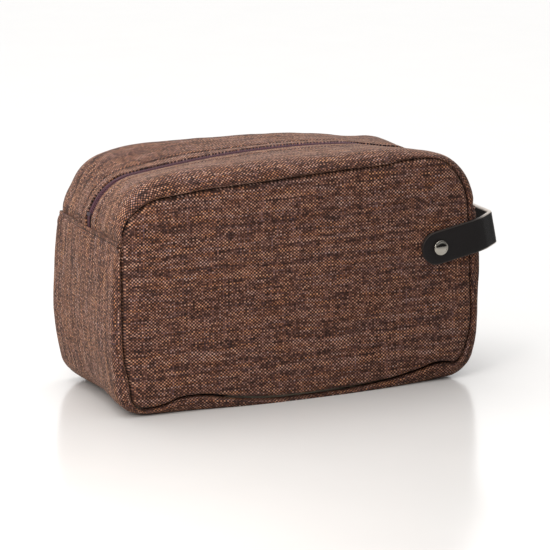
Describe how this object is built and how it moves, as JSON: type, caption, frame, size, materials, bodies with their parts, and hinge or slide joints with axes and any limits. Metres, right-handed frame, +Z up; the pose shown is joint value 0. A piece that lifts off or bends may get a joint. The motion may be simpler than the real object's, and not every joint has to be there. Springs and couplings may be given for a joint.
{
  "type": "wash bag",
  "caption": "Padded box-shaped wash bag with a coil zip over the top and a riveted leather grab handle round one end.",
  "frame": {"origin": "middle of the base, on the surface the bag stands on", "axes": "+X along the bag towards the handle, -Y towards the front panel, +Z up"},
  "size_m": [0.273, 0.123, 0.155],
  "materials": {
    "shell_weave": "brown and navy melange polyester weave",
    "padding_foam": "soft polyethylene foam sheet",
    "lining": "plain black polyester lining",
    "binding_tape": "woven edge binding tape",
    "zip_tape": "plum woven zip tape",
    "zip_coil": "plum nylon coil",
    "zip_metal": "nickel plated zinc",
    "strap_leather": "black-brown leather with painted edges",
    "rivet_nickel": "polished nickel plated steel"
  },
  "bodies": {
    "root": {"front_panel": "shell_weave", "rear_panel": "shell_weave", "lower_gusset": "shell_weave", "front_zip_strip": "shell_weave", "rear_zip_strip": "shell_weave", "front_foam": "padding_foam", "rear_foam": "padding_foam", "gusset_foam": "padding_foam", "front_strip_foam": "padding_foam", "rear_strip_foam": "padding_foam", "front_lining": "lining", "rear_lining": "lining", "gusset_lining": "lining", "front_strip_lining": "lining", "rear_strip_lining": "lining", "front_seam_binding": "binding_tape", "rear_seam_binding": "binding_tape", "left_end_binding": "binding_tape", "right_end_binding": "binding_tape", "front_zip_tape": "zip_tape", "rear_zip_tape": "zip_tape", "front_zip_coil": "zip_coil", "rear_zip_coil": "zip_coil", "zip_top_stops": "zip_metal", "zip_bottom_stop": "zip_metal", "front_rivet_cap": "rivet_nickel", "front_rivet_post": "rivet_nickel", "front_rivet_washer": "rivet_nickel", "rear_rivet_cap": "rivet_nickel", "rear_rivet_post": "rivet_nickel", "rear_rivet_washer": "rivet_nickel"},
    "zip_slider": {"slider_body": "zip_metal", "slider_crown": "zip_metal"},
    "pull_tab": {"pull_tab": "zip_metal"},
    "handle": {"handle_strap": "strap_leather"}
  },
  "joints": [
    {"name": "slider_round_shoulder", "type": "hinge", "parent": "root", "child": "zip_slider", "pos_m": [0.09, 0, 0.112], "axis": [0, -1, 0], "range_deg": [0, 42]},
    {"name": "tab_swing", "type": "hinge", "parent": "zip_slider", "child": "pull_tab", "pos_m": [0.12338, 0, 0.13128], "axis": [0, -1, 0], "range_deg": [0, 150]},
    {"name": "handle_swing", "type": "hinge", "parent": "root", "child": "handle", "pos_m": [0.0988, 0, 0.091], "axis": [0, -1, 0], "range_deg": [-30, 5]}
  ]
}
